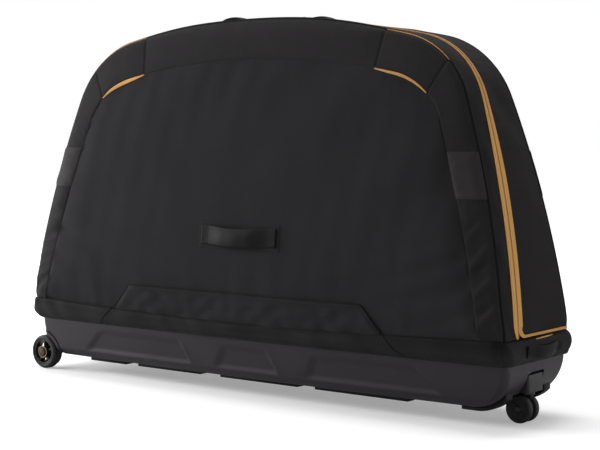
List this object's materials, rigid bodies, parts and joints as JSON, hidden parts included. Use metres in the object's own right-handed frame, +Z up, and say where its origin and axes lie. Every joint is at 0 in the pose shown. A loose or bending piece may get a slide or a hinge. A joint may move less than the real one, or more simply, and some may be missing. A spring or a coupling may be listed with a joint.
{
  "type": "bike travel case",
  "caption": "Arched fabric bicycle travel case on a moulded tub with fixed wheels and a swivel caster; the back half opens over a floor rail with a fork mount.",
  "frame": {"origin": "on the floor under the middle of the overall box", "axes": "+X towards the swivel caster, -Y towards the front panel with the lower pocket, +Z up"},
  "size_m": [1.4371, 0.3316, 0.8779],
  "materials": {
    "panel_fabric": "woven matt",
    "border_fabric": "woven matt",
    "patch_fabric": "smooth coated",
    "gusset_fabric": "woven matt",
    "accent_fabric": "ribbed woven",
    "zipper_tape": "ribbed woven",
    "piping": "bound edge",
    "webbing": "ribbed webbing",
    "collar_fabric": "woven matt",
    "moulded_plastic": "fine grain",
    "skid_plastic": "fine grain",
    "black_plastic": "satin",
    "wheel_tyre": "matt",
    "wheel_trim": "satin",
    "steel": "zinc plated",
    "rail_aluminium": "anodised",
    "zipper_teeth": "satin",
    "zipper_metal": "gunmetal",
    "hoop_glassfibre": "satin"
  },
  "bodies": {
    "base": {"back_collar": "collar_fabric", "back_wheel_axle": "steel", "back_wheel_bracket": "black_plastic", "base_tub": "moulded_plastic", "bracket_rivets": "steel", "caster_end_collar": "collar_fabric", "caster_housing": "black_plastic", "floor_rail": "rail_aluminium", "front_accents": "accent_fabric", "front_border": "border_fabric", "front_collar": "collar_fabric", "front_grab": "webbing", "front_gusset": "gusset_fabric", "front_handle": "webbing", "front_hoop": "hoop_glassfibre", "front_panel": "panel_fabric", "front_patches": "patch_fabric", "front_piping": "piping", "front_wheel_axle": "steel", "front_wheel_bracket": "black_plastic", "front_zipper_tape": "zipper_tape", "front_zipper_teeth": "zipper_teeth", "hinge_welt": "piping", "pocket_flap": "panel_fabric", "pull_strap": "webbing", "rail_bolts": "steel", "skid_strips": "skid_plastic", "wheel_end_collar": "collar_fabric"},
    "door": {"back_accents": "accent_fabric", "back_border": "border_fabric", "back_grab": "webbing", "back_gusset": "gusset_fabric", "back_handle": "webbing", "back_hoop": "hoop_glassfibre", "back_panel": "panel_fabric", "back_patches": "patch_fabric", "back_piping": "piping", "back_zipper_tape": "zipper_tape", "back_zipper_teeth": "zipper_teeth"},
    "wheel_front": {"front_wheel_tyre": "wheel_tyre", "front_wheel_rim": "black_plastic", "front_wheel_ring": "wheel_trim"},
    "wheel_back": {"back_wheel_tyre": "wheel_tyre", "back_wheel_rim": "black_plastic", "back_wheel_ring": "wheel_trim"},
    "swivel": {"caster_yoke": "black_plastic", "caster_kingpin": "steel", "caster_axle": "steel"},
    "roller_front": {"front_caster_wheel": "wheel_tyre"},
    "roller_back": {"back_caster_wheel": "wheel_tyre"},
    "slider_left": {"left_slider": "zipper_metal"},
    "slider_right": {"right_slider": "zipper_metal"},
    "tab_left": {"left_pull": "zipper_metal"},
    "tab_right": {"right_pull": "zipper_metal"},
    "fork_carriage": {"fork_mount": "black_plastic", "fork_barrel": "rail_aluminium"},
    "clamp": {"clamp_lever": "rail_aluminium"},
    "cradle_carriage": {"frame_cradle": "black_plastic"}
  },
  "joints": [
    {"name": "door_open", "type": "hinge", "parent": "base", "child": "door", "pos_m": [0.01045, 0.16014, 0.19], "axis": [-1, 0, 0], "range_deg": [0, 100]},
    {"name": "front_wheel_spin", "type": "hinge", "parent": "base", "child": "wheel_front", "pos_m": [-0.67555, -0.10316, 0.043], "axis": [0, 1, 0], "continuous": true},
    {"name": "back_wheel_spin", "type": "hinge", "parent": "base", "child": "wheel_back", "pos_m": [-0.67555, 0.11684, 0.043], "axis": [0, 1, 0], "continuous": true},
    {"name": "caster_swivel", "type": "hinge", "parent": "base", "child": "swivel", "pos_m": [0.67045, 0.00684, 0.068], "axis": [0, 0, 1], "continuous": true},
    {"name": "front_roller_spin", "type": "hinge", "parent": "swivel", "child": "roller_front", "pos_m": [0.65845, -0.00686, 0.0305], "axis": [0, 1, 0], "continuous": true},
    {"name": "back_roller_spin", "type": "hinge", "parent": "swivel", "child": "roller_back", "pos_m": [0.65845, 0.02054, 0.0305], "axis": [0, 1, 0], "continuous": true},
    {"name": "left_slider_run", "type": "slide", "parent": "base", "child": "slider_left", "axis": [1, 0, -0.0028], "range_m": [-0.06, 0]},
    {"name": "right_slider_run", "type": "slide", "parent": "base", "child": "slider_right", "axis": [0.9998, 0, -0.0213], "range_m": [0, 0.06]},
    {"name": "left_tab_flip", "type": "hinge", "parent": "slider_left", "child": "tab_left", "pos_m": [0.01645, -0.0006, 0.87369], "axis": [0, 1, 0], "range_deg": [0, 150]},
    {"name": "right_tab_flip", "type": "hinge", "parent": "slider_right", "child": "tab_right", "pos_m": [0.05645, -0.0006, 0.87321], "axis": [0, -1, 0], "range_deg": [0, 150]},
    {"name": "fork_mount_slide", "type": "slide", "parent": "base", "child": "fork_carriage", "axis": [1, 0, 0], "range_m": [-0.05, 0.05]},
    {"name": "clamp_lever_flip", "type": "hinge", "parent": "fork_carriage", "child": "clamp", "pos_m": [-0.31936, 0.03114, 0.08025], "axis": [0, -1, 0], "range_deg": [0, 90]},
    {"name": "frame_cradle_slide", "type": "slide", "parent": "base", "child": "cradle_carriage", "axis": [1, 0, 0], "range_m": [-0.1, 0.1]}
  ]
}
